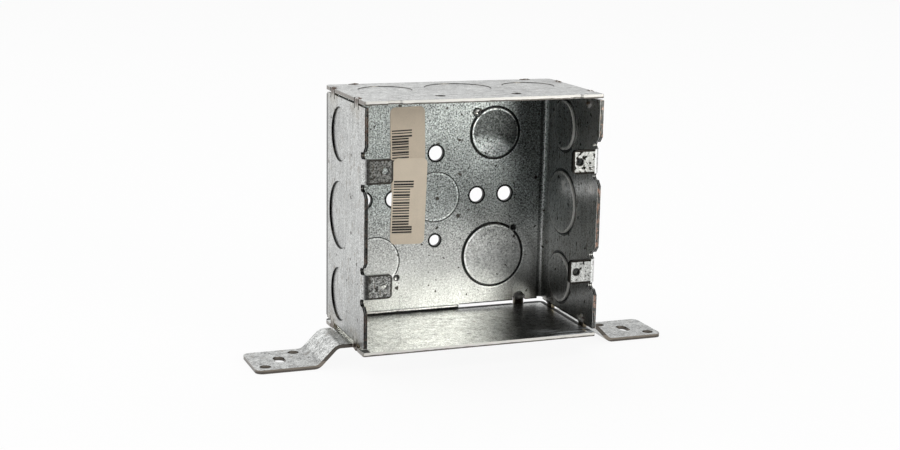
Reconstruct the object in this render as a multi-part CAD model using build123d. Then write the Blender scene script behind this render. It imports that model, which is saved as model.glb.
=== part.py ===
from build123d import *
import os
from math import cos, radians, sin

# Two-device electrical box of galvanised sheet steel, standing on the two arms of its bracket plate.
# Frame: X to the right as seen from the open front, Y from the front to the back, Z up.
# The origin lies on the ground under the middle of the box.

# Box sizes, in millimetres
box_width = 101.6  # outside, over the two side walls
box_height = 101.6  # outside, over the two end plates
box_depth = 54.0  # front rim to the outside of the back wall
sheet = 1.6  # thickness of every steel piece
bend_inside = 1.2  # inside radius of the box corners and the tab bends
top_seam_gap = 0.9  # open seam between the wrapper and the top plate
bottom_seam_gap = 1.7  # the same at the bottom plate

# Weld joints: a tongue on the wrapper edge stands in a notch of the plate
weld_from_side = 12.3  # joints on the back seam, from the outside of the side wall
weld_from_rim = 11.0  # joints on the side seams, from the front rim and from the outside of the back
weld_tongue_width = 4.4
weld_tongue_recess = 0.3  # tongue end below the outside of the plate
weld_notch_clearance = 0.15  # on each flank of the tongue
weld_notch_flare = 0.7  # the notch mouth is wider by this on each flank
weld_relief_width = 0.8  # slot in the wrapper edge on each side of a tongue
weld_relief_depth = 1.8
weld_lump = 4.6  # diameter of the splash on the inside of the wall
weld_lump_proud = 1.3  # height of its middle above the wall
weld_lump_from_plate = 3.4  # middle of the splash from the inside of the plate
corner_relief = 0.8  # height of the open corner at each end of a folded corner

# Device tabs
device_span = 83.34  # between the two screws of one device
device_pitch = 46.04  # between the two devices
device_hole = 2.9
tab_width = 10.0
tab_setback = 1.5  # front of the tab behind the front rim
tab_edge = 3.1  # end of the tab past the screw centre
tab_corner = 1.8
notch_width = 2.9
notch_depth = 4.8
notch_mouth_depth = 2.0
notch_mouth_run = 2.3

# Knockouts: a half-sheared disc, held by one tie and by a thin web at the bottom of its groove
knockout_small = 22.2
knockout_large = 27.8
knockout_groove = 0.5  # width of the sheared groove round the disc
knockout_web = 0.3  # metal left under the groove
knockout_tie = 2.4  # width of the tie
knockout_lift = 0.4  # discs of the back wall that were pushed towards the inside
side_knockout_lift = 0.7  # the same for the discs of the side walls
top_knockout_lift = 0.2  # the same for the discs of the top plate
tie_dimple = 3.0  # diameter of the punch mark beside a tie of the back wall
tie_dimple_depth = 0.5
tie_dimple_offset = 1.2  # middle of the punch mark outside the groove
knockout_from_back = 20.6  # row in the side walls and the top plate, from the outside of the back
side_knockout_margin = 6.4  # rim of the end knockouts of a side wall from the outside of the end plate
back_knockout_margin = 12.7  # corner knockouts to the outside of the box, before the shift of the pattern
back_tie_middle = 180  # ties of the back wall, in degrees from +X towards +Z
back_tie_upper_right = 133
back_tie_lower_right = 50
back_tie_lower_left = -38

# The holes and knockouts of the back wall sit a little off its middle
back_pattern_shift = -1.9
back_pattern_rise = 1.2

# Round holes in the back wall, measured from the middle of its pattern
fixing_hole = 6.4
fixing_hole_inner = 19.05
fixing_hole_outer = 32.2
fixing_hole_low = 4.8

# Top plate: two small holes and two open notches along the front rim
rim_hole = 4.2
rim_hole_pitch = 32.6
rim_hole_setback = 10.0
rim_notch_depth = 1.2
front_corner = 0.8

# Bracket arms
arm_width = 25.0
arm_drop = 7.9  # underside of the box above the ground
arm_shelf = 5.9  # level stretch outside the side wall
arm_slope_run = 7.9
arm_bend_inside = 3.2
foot_length = 25.7  # from the bend to the tip
foot_corner = 3.0
foot_hole = 4.6
foot_slot_length = 8.2
foot_slot_from_tip = 12.5
foot_hole_step = 7.9  # outer and inner hole from the slot, along the arm
foot_hole_side = 8.0  # the same holes from the middle line of the arm
root_slit_width = 0.9
root_slit_length = 7.0
root_slit_offset = 0.8  # from the side wall to the slit

# Paper labels inside the back wall
label_width = 15.5
label_height = 37.4
label_corner = 2.3
label_thickness = 0.2
upper_label_below_top = 10.1  # top of the label below the top of the box
upper_label_shift = -14.7  # middle of the label from the middle of the box
upper_label_turn = 1.4  # degrees, with the top to the left
lower_label_drop = 22.0  # middle of the lower label below the middle of the upper one
lower_label_shift = 0.6  # to the right of the upper one
lower_label_turn = -1.8

# Places that follow from the sizes
front = -box_depth / 2
back = box_depth / 2
wall = box_width / 2
wall_inside = wall - sheet
back_inside = back - sheet
bottom = arm_drop
bottom_inside = bottom + sheet
top = bottom + box_height
top_inside = top - sheet
middle = bottom + box_height / 2
wrapper_low = bottom_inside + bottom_seam_gap
wrapper_high = top_inside - top_seam_gap
wrapper_height = wrapper_high - wrapper_low
bend_outside = bend_inside + sheet
knockout_row = back - knockout_from_back
weld_x = wall - weld_from_side
weld_y = back - weld_from_rim
arm_bend_out = wall + arm_shelf
arm_bend_in = arm_bend_out + arm_slope_run
arm_tip = arm_bend_in + foot_length
through = 4 * sheet  # length of a cutter that passes through one sheet

# Inside faces of the walls: local Z points into the box and local Y points up, or to the front on the top
back_face = Plane((0, back_inside, middle), x_dir=(1, 0, 0), z_dir=(0, -1, 0))
left_face = Plane((-wall_inside, knockout_row, middle), x_dir=(0, 1, 0), z_dir=(1, 0, 0))
right_face = Plane((wall_inside, knockout_row, middle), x_dir=(0, -1, 0), z_dir=(-1, 0, 0))
top_face = Plane((0, knockout_row, top_inside), x_dir=(1, 0, 0), z_dir=(0, 0, -1))
back_pattern = back_face * Pos(back_pattern_shift, back_pattern_rise, 0)
box_mirror = Plane((0, 0, middle), x_dir=(1, 0, 0), z_dir=(0, 0, 1))


def strip(points, radii, width):
    """Sheet bent along a line of points, thickened to the left of the line and centred on its plane."""
    line = FilletPolyline(*points, radius=radii)
    return extrude(make_face(offset(line, sheet, side=Side.LEFT).edges()), width / 2, both=True)


def cap_ball(diameter, height):
    """Radius of the ball that has a cap of this diameter and height."""
    return ((diameter / 2) ** 2 + height**2) / (2 * height)


def knockout(face, across, up, diameter, tie_angle, lift=0.0, dimple=False):
    """Cuts and added metal of one knockout, with its middle at a place on the inside face of a wall."""
    place = face * Pos(across, up, 0)
    outer = diameter / 2
    inner = outer - knockout_groove
    tie = Rot(0, 0, tie_angle) * Pos(outer, 0, 0) * Box(diameter / 2, knockout_tie, through)
    ring = Cylinder(outer, through) - Cylinder(inner, through) - tie
    cuts = []
    added = []
    if lift:
        outside_depth = lift
        cuts.append(place * Pos(0, 0, -sheet) * Cylinder(outer, 2 * lift))
        added.append(place * Pos(0, 0, lift / 2) * Cylinder(inner, lift))
    else:
        outside_depth = (sheet - knockout_web) / 2
        cuts.append(place * Pos(0, 0, outside_depth - sheet - through / 2) * ring)
    groove_floor = outside_depth + knockout_web - sheet
    cuts.append(place * Pos(0, 0, groove_floor + through / 2) * ring)
    if dimple:
        ball = cap_ball(tie_dimple, tie_dimple_depth)
        turn = radians(tie_angle)
        reach = outer + tie_dimple_offset
        mark = Pos(reach * cos(turn), reach * sin(turn), ball - tie_dimple_depth)
        cuts.append(place * mark * Sphere(ball))
    return cuts, added


def apply_knockouts(solid, knockouts):
    """The same solid with a list of knockouts worked into it."""
    all_cuts = [cut for cuts, added in knockouts for cut in cuts]
    all_added = [metal for cuts, added in knockouts for metal in added]
    return solid + all_added - all_cuts


def weld_places():
    """Places on the outside edge of an end plate, with local X along the seam and local Y outwards."""
    places = []
    for sign in (-1, 1):
        places.append(Pos(sign * weld_x, back, 0))
        places.append(Pos(wall, sign * weld_y, 0) * Rot(0, 0, -90))
        places.append(Pos(-wall, sign * weld_y, 0) * Rot(0, 0, 90))
    return places


def top_weld(place, gap):
    """Weld tongue that stands in the notch of the top plate, with the splash on the inside of the wall."""
    low = top_inside - gap - weld_relief_depth
    high = top - weld_tongue_recess
    tongue = Pos(0, -sheet / 2, (low + high) / 2) * Box(weld_tongue_width, sheet, high - low)
    ball = cap_ball(weld_lump, weld_lump_proud)
    level = top_inside - weld_lump_from_plate
    splash = Pos(0, ball - weld_lump_proud - sheet, level) * Sphere(ball)
    room = Box(4 * ball, 4 * ball, 4 * ball, align=(Align.CENTER, Align.MAX, Align.CENTER))
    return place * (tongue + (splash & Pos(0, -sheet / 2, level) * room))


def top_weld_reliefs(place, gap):
    """Slots in the top edge of the wrapper on the two sides of a weld tongue."""
    along = (weld_tongue_width + weld_relief_width) / 2
    slot = Pos(0, -sheet / 2, top_inside - gap) * Box(weld_relief_width, 2 * sheet, 2 * weld_relief_depth)
    return [place * Pos(sign * along, 0, 0) * slot for sign in (-1, 1)]


def notch_cut(place, z_middle, depth):
    """Flared notch that opens at the edge of a plate."""
    floor = weld_tongue_width / 2 + weld_notch_clearance
    mouth = floor + weld_notch_flare
    flank = [(floor, -depth), (mouth, 0), (mouth, depth)]
    outline = Polyline(*[(-x, y) for x, y in reversed(flank)], *flank, close=True)
    return place * Pos(0, 0, z_middle) * extrude(make_face(outline), sheet, both=True)


def device_tab():
    """Upper right device tab: a strip that leaves the side wall and turns in behind the front rim."""
    tab_back = front + tab_setback + sheet
    tip = device_span / 2 - tab_edge
    root = front + notch_depth + sheet
    tab = strip([(wall_inside, root), (wall_inside, tab_back), (tip, tab_back)], bend_inside, tab_width)
    tab = fillet(tab.edges().filter_by(Axis.Y).group_by(Axis.X)[0], tab_corner)
    screw = Pos(device_span / 2, tab_back, 0) * Rot(90, 0, 0) * Cylinder(device_hole / 2, through)
    return Pos(0, 0, middle + device_pitch / 2) * (tab - screw)


def tab_relief():
    """Opening in the right wall round the upper tab: the bent strip and a round-ended notch on each side."""
    half = tab_width / 2
    outer = half + notch_width
    mouth = outer + notch_mouth_run
    straight = notch_depth - notch_width / 2
    points = [(-sheet, half), (straight, half), (straight, outer), (notch_mouth_depth, outer), (0, mouth)]
    notch = make_face(Polyline(*points, (-sheet, mouth), close=True))
    notch += Pos(straight, half + notch_width / 2) * Circle(notch_width / 2)
    strip_place = Pos((notch_depth - sheet) / 2, 0) * Rectangle(notch_depth + sheet, tab_width)
    opening = notch + mirror(notch, Plane.XZ) + strip_place
    side = Plane((wall - sheet / 2, front, middle + device_pitch / 2), x_dir=(0, 1, 0), z_dir=(1, 0, 0))
    return extrude(side * opening, sheet, both=True)


def four_ways(solid):
    """A solid of the upper right quarter and its mirror images in the other three quarters of the box."""
    pair = [solid, mirror(solid, Plane.YZ)]
    return pair + [mirror(item, box_mirror) for item in pair]


def corner_relief_cuts():
    """Open corners where each folded corner of the wrapper meets an end plate."""
    size = bend_outside + sheet / 2
    cuts = []
    for sign in (-1, 1):
        for level in (wrapper_low, wrapper_high):
            cuts.append(Pos(sign * wall, back, level) * Box(2 * size, 2 * size, 2 * corner_relief))
    return cuts


def box_wrapper():
    """Left, back and right wall folded from one sheet, with the tabs, tongues, holes and knockouts."""
    left = [(-wall_inside, front), (-wall_inside, back_inside)]
    right = [(-x, y) for x, y in reversed(left)]
    body = Pos(0, 0, (wrapper_low + wrapper_high) / 2) * strip(left + right, bend_inside, wrapper_height)
    reliefs = []
    welds = []
    for place in weld_places():
        reliefs += top_weld_reliefs(place, top_seam_gap)
        reliefs += [mirror(slot, box_mirror) for slot in top_weld_reliefs(place, bottom_seam_gap)]
        welds.append(top_weld(place, top_seam_gap))
        welds.append(mirror(top_weld(place, bottom_seam_gap), box_mirror))
    body = body - (corner_relief_cuts() + reliefs + four_ways(tab_relief()))
    body = body + (four_ways(device_tab()) + welds)

    row = (-fixing_hole_outer, -fixing_hole_inner, fixing_hole_inner, fixing_hole_outer)
    holes = [(x, 0, fixing_hole) for x in row]
    holes += [(0, fixing_hole_inner, fixing_hole), (0, -fixing_hole_inner, fixing_hole_low)]
    body = body - [back_pattern * Pos(x, z, 0) * Cylinder(size / 2, through) for x, z, size in holes]

    across = wall - back_knockout_margin - knockout_small / 2
    up = box_height / 2 - back_knockout_margin - knockout_small / 2
    knockouts = [
        knockout(back_pattern, 0, 0, knockout_small, back_tie_middle),
        knockout(back_pattern, across, up, knockout_small, back_tie_upper_right, knockout_lift, dimple=True),
        knockout(back_pattern, across, -up, knockout_large, back_tie_lower_right, knockout_lift, dimple=True),
        knockout(back_pattern, -across, -up, knockout_small, back_tie_lower_left, dimple=True),
    ]
    side_up = box_height / 2 - side_knockout_margin - knockout_small / 2
    for face, tie_angle in ((left_face, 0), (right_face, 180)):
        knockouts.append(knockout(face, 0, 0, knockout_large, tie_angle, side_knockout_lift))
        for up in (-side_up, side_up):
            knockouts.append(knockout(face, 0, up, knockout_small, tie_angle, side_knockout_lift))
    return apply_knockouts(body, knockouts)


def end_plate(low):
    """Plain plate over one end of the wrapper, rounded to suit the folded corners."""
    plate = Pos(0, 0, low + sheet / 2) * Box(box_width, box_depth, sheet)
    plate = fillet(plate.edges().filter_by(Axis.Z).group_by(Axis.Y)[-1], bend_outside)
    return fillet(plate.edges().filter_by(Axis.Z).group_by(Axis.Y)[0], front_corner)


def weld_notches(low):
    """Notches of an end plate for the weld tongues."""
    return [notch_cut(place, low + sheet / 2, sheet) for place in weld_places()]


def top_end_plate():
    """End plate with a row of knockouts, and small holes and open notches along the front rim."""
    cuts = weld_notches(top_inside)
    for sign in (-1, 1):
        hole_place = Pos(sign * rim_hole_pitch / 2, front + rim_hole_setback, top)
        cuts.append(hole_place * Cylinder(rim_hole / 2, through))
        notch_place = Pos(sign * weld_x, front, 0) * Rot(0, 0, 180)
        cuts.append(notch_cut(notch_place, top_inside + sheet / 2, rim_notch_depth))
    plate = end_plate(top_inside) - cuts
    between_knockout_and_wall = (knockout_large / 2 + wall_inside) / 2
    knockouts = [knockout(top_face, 0, 0, knockout_large, -90, top_knockout_lift)]
    for across in (-between_knockout_and_wall, between_knockout_and_wall):
        knockouts.append(knockout(top_face, across, 0, knockout_small, -90, top_knockout_lift))
    return apply_knockouts(plate, knockouts)


def bottom_bracket_plate():
    """End plate in one piece with two arms that drop to the ground and end in flat drilled feet."""
    left = [(-arm_tip, 0), (-arm_bend_in, 0), (-arm_bend_out, bottom)]
    right = [(-x, z) for x, z in reversed(left)]
    inner = arm_bend_inside
    outer = arm_bend_inside + sheet
    arms = Rot(90, 0, 0) * strip(left + right, [outer, inner, inner, outer], arm_width)
    for end in (0, -1):
        arms = fillet(arms.edges().filter_by(Axis.Z).group_by(Axis.X)[end], foot_corner)

    slot_place = arm_tip - foot_slot_from_tip
    slot = SlotOverall(foot_slot_length, foot_hole, rotation=90)
    cuts = weld_notches(bottom)
    for sign in (-1, 1):
        cuts.append(Pos(sign * slot_place, 0, 0) * extrude(slot, through, both=True))
        for way in (-1, 1):
            hole_place = Pos(sign * (slot_place + way * foot_hole_step), -way * foot_hole_side, 0)
            cuts.append(hole_place * Cylinder(foot_hole / 2, through))
        slit_place = Pos(sign * (wall + root_slit_offset + root_slit_width / 2), arm_width / 2, bottom)
        cuts.append(slit_place * Box(root_slit_width, 2 * root_slit_length, through))
    return end_plate(bottom) + arms - cuts


def label(shift, height, turn, thickness):
    """Sheet of paper with round corners on the inside of the back wall, as thick as given."""
    outline = Rot(0, 0, turn) * RectangleRounded(label_width, label_height, label_corner)
    return back_face * Pos(shift, height, 0) * extrude(outline, thickness)


def labels():
    """Two paper labels; the lower one climbs over the foot of the upper one."""
    upper_height = box_height / 2 - upper_label_below_top - label_height / 2
    upper = label(upper_label_shift, upper_height, upper_label_turn, label_thickness)
    lower_place = (upper_label_shift + lower_label_shift, upper_height - lower_label_drop, lower_label_turn)
    flat = label(*lower_place, label_thickness)
    two_sheets = 2 * label_thickness
    step_outline = offset(RectangleRounded(label_width, label_height, label_corner), two_sheets)
    step_outline = Rot(0, 0, upper_label_turn) * step_outline
    step = back_face * Pos(upper_label_shift, upper_height, 0) * extrude(step_outline, two_sheets)
    lower = flat + (label(*lower_place, two_sheets) & step) - upper
    return upper, lower


os.makedirs("parts", exist_ok=True)
upper_label, lower_label = labels()
nodes = {
    "box_wrapper": box_wrapper(),
    "top_end_plate": top_end_plate(),
    "bottom_bracket_plate": bottom_bracket_plate(),
    "upper_label": upper_label,
    "lower_label": lower_label,
}
for name, solid in nodes.items():
    export_step(solid, f"parts/{name}.step")
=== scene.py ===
# %% [markdown]
# # A galvanised device box, dressed for its portrait
# The box is sheet steel with a zinc coat: one folded wrapper, a top plate and a bottom plate with two
# offset arms. The solids already have their true shape, so this lesson is about what the eye sees on
# them: light, zinc, burnt welds, sheared edges and two paper labels. Much of the light and shade is
# painted into the coats. Everything is in metres.

# %% Load the solids as a fixed frame
import math

import bmesh
import bpy
from mathutils import Matrix, Vector, noise


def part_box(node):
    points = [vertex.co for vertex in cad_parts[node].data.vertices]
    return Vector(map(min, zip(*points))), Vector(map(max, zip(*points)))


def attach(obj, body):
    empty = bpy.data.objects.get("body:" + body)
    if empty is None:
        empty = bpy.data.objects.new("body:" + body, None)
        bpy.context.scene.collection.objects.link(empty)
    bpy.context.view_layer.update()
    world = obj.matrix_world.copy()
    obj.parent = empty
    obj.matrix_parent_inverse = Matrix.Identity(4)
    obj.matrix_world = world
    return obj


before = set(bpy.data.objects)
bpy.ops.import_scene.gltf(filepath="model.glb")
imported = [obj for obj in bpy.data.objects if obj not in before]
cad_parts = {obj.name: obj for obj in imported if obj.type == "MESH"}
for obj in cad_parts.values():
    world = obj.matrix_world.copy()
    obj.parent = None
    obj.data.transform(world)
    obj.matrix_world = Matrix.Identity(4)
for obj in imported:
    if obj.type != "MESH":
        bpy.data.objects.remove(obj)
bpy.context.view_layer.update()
MM = 0.001

# %% [markdown]
# ## Places on the box
# Most finishes belong to a place: a scorch sits at a weld, a dark line in a sheared groove. The places
# could all be typed in, but they would be wrong after a change to the solids. So the walls are read from
# the solids, and only the few sizes that a bounding box can't tell are written here.

# %% Read the walls from the solids
SHEET = 1.6 * MM
BOTTOM_SEAM = 1.7 * MM
WELD_FROM_SIDE = 12.3 * MM
WELD_FROM_RIM = 11.0 * MM
DEVICE_SPAN = 83.34 * MM
DEVICE_PITCH = 46.04 * MM
wrapper_low, wrapper_high = (Vector(corner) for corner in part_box("box_wrapper"))
front, back, wall = wrapper_low.y, wrapper_high.y, wrapper_high.x
inner_wall, inner_back = wall - SHEET, back - SHEET
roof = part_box("top_end_plate")[1][2]
plate_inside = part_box("bottom_bracket_plate")[1][2]
ground_plate = plate_inside - SHEET
wall_edge = plate_inside + BOTTOM_SEAM
middle = (roof + ground_plate) / 2
half_height = (roof - ground_plate) / 2
weld_x = wall - WELD_FROM_SIDE
weld_y = back - WELD_FROM_RIM
print("front", front, "back", back, "wall", wall, "roof", roof, "underside", ground_plate)

# %% [markdown]
# ## The camera
# A photograph fixes its own viewpoint: with a few corners of known size, the direction, the distance and
# the lens follow. The camera could be turned by trial, but building its axes from the direction of view
# keeps the small tilt of the horizon exact.

# %% Place the camera
VIEW_AZIMUTH = math.radians(21.05)
VIEW_ELEVATION = math.radians(12.16)
VIEW_ROLL = math.radians(1.06)
VIEW_DISTANCE = 0.645
VIEW_TARGET = Vector((-0.0055, -0.002, 0.05352))
FOCAL_PIXELS = 1558.8
IMAGE_WIDTH = 900
SENSOR_WIDTH = 36.0
NEAREST = 0.01

forward = Vector((math.sin(VIEW_AZIMUTH) * math.cos(VIEW_ELEVATION),
                  math.cos(VIEW_AZIMUTH) * math.cos(VIEW_ELEVATION),
                  -math.sin(VIEW_ELEVATION)))
level = forward.cross(Vector((0, 0, 1))).normalized()
upright = level.cross(forward)
right = level * math.cos(VIEW_ROLL) + upright * math.sin(VIEW_ROLL)
above = right.cross(forward)

camera_data = bpy.data.cameras.new("camera")
camera_data.sensor_width = SENSOR_WIDTH
camera_data.lens = FOCAL_PIXELS / IMAGE_WIDTH * SENSOR_WIDTH
camera_data.clip_start = NEAREST
camera = bpy.data.objects.new("camera", camera_data)
axes = Matrix((right, above, -forward)).transposed().to_4x4()
camera.matrix_world = Matrix.Translation(VIEW_TARGET - forward * VIEW_DISTANCE) @ axes
bpy.context.scene.collection.objects.link(camera)
bpy.context.scene.camera = camera
print("lens:", round(camera_data.lens, 1), "mm")

# %% [markdown]
# ## Small helpers for node trees
# A material is a tree of nodes. It could be wired by hand in the editor, but a tree in code can be read,
# changed and made again. These helpers keep the recipes short: one adds a node and fills its sockets with
# numbers or with links, and the others do what the recipes need most.


# %% Node helpers
def node(tree, kind, sockets=None, **settings):
    made = tree.nodes.new("ShaderNode" + kind)
    for key, value in settings.items():
        setattr(made, key, value)
    for key, value in (sockets or {}).items():
        if isinstance(value, bpy.types.NodeSocket):
            tree.links.new(value, made.inputs[key])
        else:
            made.inputs[key].default_value = value
    return made


def maths(tree, operation, *values):
    return node(tree, "Math", dict(enumerate(values)), operation=operation).outputs[0]


def blend(tree, factor, first, second, mode="MIX"):
    made = node(tree, "Mix", {0: factor, 6: first, 7: second}, data_type="RGBA", blend_type=mode)
    return made.outputs[2]


def span(tree, value, low, high, to_low=0.0, to_high=1.0):
    """Smooth step: one value up to a lower limit, another from a higher limit on."""
    sockets = {"Value": value, "From Min": low, "From Max": high, "To Min": to_low, "To Max": to_high}
    return node(tree, "MapRange", sockets, interpolation_type="SMOOTHSTEP").outputs["Result"]


print("node helpers:", [helper.__name__ for helper in (node, maths, blend, span)])

# %% Noise and vector helpers
PLAIN, RICH = 2.0, 3.0  # detail of a noise


def swing(tree, value, gain):
    """Turn a noise of 0 to 1 into a swing about zero."""
    return maths(tree, "MULTIPLY_ADD", value, gain, -gain / 2)


def cloudy(tree, vector, scale, detail=PLAIN):
    return node(tree, "TexNoise", {"Vector": vector, "Scale": scale, "Detail": detail}).outputs["Fac"]


def stretched(tree, vector, scale):
    return node(tree, "Mapping", {"Vector": vector, "Scale": scale}).outputs[0]


def axis_of(tree, vector, axis):
    return node(tree, "SeparateXYZ", {0: vector}).outputs[axis]


def point(tree, x, y, z):
    return node(tree, "CombineXYZ", {0: x, 1: y, 2: z}).outputs[0]


def bumps(tree, height, strength, depth):
    return node(tree, "Bump", {"Height": height, "Strength": strength, "Distance": depth}).outputs[0]


print("noise and vector helpers:",
      [helper.__name__ for helper in (swing, cloudy, stretched, axis_of, point, bumps)])


# %% Start and close a material
def new_material(name):
    material = bpy.data.materials.new(name)
    material.use_nodes = True
    material.node_tree.nodes.clear()
    return material, material.node_tree


def close_material(tree, sockets):
    """One shader with the given sockets, wired to the output."""
    shader = node(tree, "BsdfPrincipled", sockets)
    node(tree, "OutputMaterial", {"Surface": shader.outputs[0]})
    print("material of", len(tree.nodes), "nodes")


def dress(name, material):
    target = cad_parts[name]
    target.data.materials.clear()
    target.data.materials.append(material)
    print(name, "wears", material.name)


print("solids to dress:", len(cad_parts))

# %% [markdown]
# ## Masks
# A mask is a number from 0 to 1 that says how much of a finish shows at a place. It could be painted on
# the mesh, but a formula on the coordinates stays sharp at any distance. Masks combine as in logic:
# multiplying asks for both, and the larger of two asks for either.


# %% Mask helpers
def both(tree, first, *others):
    for other in others:
        first = maths(tree, "MULTIPLY", first, other)
    return first


def either(tree, first, *others):
    for other in others:
        first = maths(tree, "MAXIMUM", first, other)
    return first


def outside_of(tree, mask):
    return maths(tree, "SUBTRACT", 1.0, mask)


def under(tree, value, limit):
    return maths(tree, "LESS_THAN", value, limit)


def window(tree, value, low, high, soft):
    rise = span(tree, value, low - soft, low + soft)
    fall = span(tree, value, high - soft, high + soft, 1.0, 0.0)
    return maths(tree, "MULTIPLY", rise, fall)


print("mask helpers:", [helper.__name__ for helper in (both, either, outside_of, under, window)])

# %% Levels, spots and rings
LEVEL_HALF, LEVEL_SOFT = 0.04 * MM, 0.01 * MM
BAND_SOFT = 0.08 * MM


def at_level(tree, value, level):
    return window(tree, value, level - LEVEL_HALF, level + LEVEL_HALF, LEVEL_SOFT)


def distance(tree, place, centre):
    return node(tree, "VectorMath", {0: place, 1: centre}, operation="DISTANCE").outputs["Value"]


def round_spot(tree, place, centre, inner, outer):
    return span(tree, distance(tree, place, centre), inner, outer, 1.0, 0.0)


def ring(tree, place, centre, radius, band):
    """Band about a circle, from one offset of its radius to another."""
    return window(tree, distance(tree, place, centre), radius + band[0], radius + band[1], BAND_SOFT)


print("rings have edges", round(2 * BAND_SOFT / MM, 2), "mm wide")


# %% Tones and layers
def shaded(tree, tone, *steps):
    """Multiply a tone by each step's factor where its mask holds."""
    for mask, factor in steps:
        change = maths(tree, "MULTIPLY_ADD", mask, factor - 1.0, 1.0)
        tone = maths(tree, "MULTIPLY", tone, change)
    return tone


def layered(tree, colour, *layers):
    """Lay coats of colour over each other, each where its mask holds and as strong as its share."""
    for mask, share, coat in layers:
        colour = blend(tree, both(tree, mask, share), colour, coat)
    return colour


print("a tone takes (mask, factor), a colour takes (mask, share, coat)")

# %% [markdown]
# ## Floor and world
# Bare metal shows what stands around it, so the stage is part of the look. A pale floor could be lit
# until it is white, but that would also burn out the box. Here the floor glows only to the eye and to
# reflections, and the world is white behind and dimmer in front, so that the metal keeps its depth.


# %% Floor
def mesh_object(name, shape, material):
    mesh = bpy.data.meshes.new(name)
    shape.to_mesh(mesh)
    shape.free()
    mesh.materials.append(material)
    made = bpy.data.objects.new(name, mesh)
    bpy.context.scene.collection.objects.link(made)
    return made


FLOOR_HALF = 6.0
FLOOR_DROP = 0.05 * MM
FLOOR_GLOW = 0.9
FLOOR_PALE = (0.86, 0.86, 0.86, 1)
WHITE = (1, 1, 1, 1)
pale_floor, tree = new_material("pale_floor")
ray = node(tree, "LightPath")
seen = either(tree, ray.outputs["Is Camera Ray"], ray.outputs["Is Glossy Ray"],
              ray.outputs["Is Transmission Ray"])
matt = node(tree, "BsdfDiffuse", {"Color": FLOOR_PALE})
glow = node(tree, "Emission", {"Color": WHITE, "Strength": 1.0})
mixed = node(tree, "MixShader", {0: maths(tree, "MULTIPLY", seen, FLOOR_GLOW),
                                 1: matt.outputs[0], 2: glow.outputs[0]})
node(tree, "OutputMaterial", {"Surface": mixed.outputs[0]})

shape = bmesh.new()
bmesh.ops.create_grid(shape, x_segments=1, y_segments=1, size=FLOOR_HALF)
bmesh.ops.translate(shape, verts=shape.verts, vec=(0, 0, -FLOOR_DROP))
floor = mesh_object("floor", shape, pale_floor)
print("floor:", 2 * FLOOR_HALF, "m wide")

# %% World
WORLD_FRONT, WORLD_BACK = 0.30, 1.0
WORLD_TURN = 0.5
world = bpy.data.worlds.new("studio")
bpy.context.scene.world = world
world.use_nodes = True
tree = world.node_tree
tree.nodes.clear()
depth = axis_of(tree, node(tree, "TexCoord").outputs["Generated"], "Y")
strength = span(tree, depth, -WORLD_TURN, WORLD_TURN, WORLD_FRONT, WORLD_BACK)
sky = node(tree, "Background", {"Color": WHITE, "Strength": strength})
node(tree, "OutputWorld", {"Surface": sky.outputs[0]})
bpy.context.scene.view_settings.view_transform = "Standard"
print("world:", WORLD_FRONT, "in front,", WORLD_BACK, "behind")

# %% [markdown]
# ## Lamps and dark cards
# A warm key lamp from the right lights the back wall through the open front, and two wide lamps fill the
# rest. One lamp would leave hard shadows, and light from all sides would make the metal flat. So dark
# cards stand in front that only reflections see, as a photographer hangs them to give bright metal depth.


# %% Lamps
def soft_lamp(name, place, width, height, watts, colour):
    data = bpy.data.lights.new(name, "AREA")
    data.shape = "RECTANGLE"
    data.size, data.size_y = width, height
    data.energy = watts
    data.color = colour
    lamp = bpy.data.objects.new(name, data)
    lamp.location = place
    lamp.rotation_euler = (BOX_MIDDLE - Vector(place)).to_track_quat("-Z", "Y").to_euler()
    bpy.context.scene.collection.objects.link(lamp)
    print("lamp:", name, watts, "W")


BOX_MIDDLE = Vector((0, 0, 0.055))
WARM_LIGHT, WHITE_LIGHT = (1.0, 0.985, 0.92), (1, 1, 1)
soft_lamp("key_right", (0.62, -1.25, 0.30), width=0.55, height=0.50, watts=8.5, colour=WARM_LIGHT)
soft_lamp("fill_left", (-1.3, 0.1, 0.7), width=2.0, height=1.6, watts=7, colour=WHITE_LIGHT)
soft_lamp("top", (0.0, 0.2, 1.5), width=2.6, height=2.6, watts=9, colour=WHITE_LIGHT)

# %% Dark cards
CARD_PAINT = (0.03, 0.03, 0.03, 1)
CARD_LIFT = 1 * MM
card_black, tree = new_material("card_black")
paint = node(tree, "BsdfDiffuse", {"Color": CARD_PAINT})
node(tree, "OutputMaterial", {"Surface": paint.outputs[0]})


def dark_card(name, low, high):
    """Flat card between two corners: it stands if they share a depth, and lies if they share a height."""
    shape = bmesh.new()
    bmesh.ops.create_grid(shape, x_segments=1, y_segments=1, size=0.5)
    low, high = Vector(low), Vector(high)
    size = high - low
    if size.y == 0:
        bmesh.ops.rotate(shape, verts=shape.verts, matrix=Matrix.Rotation(math.pi / 2, 3, "X"))
    bmesh.ops.scale(shape, verts=shape.verts, vec=size)
    bmesh.ops.translate(shape, verts=shape.verts, vec=(low + high) / 2)
    card = mesh_object(name, shape, card_black)
    card.visible_camera = False
    card.visible_diffuse = False
    card.visible_shadow = False
    print("card:", name)


dark_card("front_card", (-0.9, -0.34, CARD_LIFT), (0.11, -0.34, 0.7))
dark_card("low_card", (0.11, -0.30, CARD_LIFT), (0.24, -0.30, 0.05))
dark_card("near_card", (-0.26, -0.15, CARD_LIFT), (-0.02, -0.05, CARD_LIFT))
dark_card("far_card", (-0.26, -0.34, CARD_LIFT), (0.10, -0.15, CARD_LIFT))

# %% [markdown]
# ## Zinc coat
# Hot-dip zinc freezes into small crystals over rolled sheet, so the eye sees a salt-and-pepper grain,
# streaks along the rolling direction and faint clouds. One photo texture could hold all that, but a
# recipe of noises stays sharp at every distance and never repeats. Each noise swings the brightness
# about 1, and the gains say how much of each the sheet shows.

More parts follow.
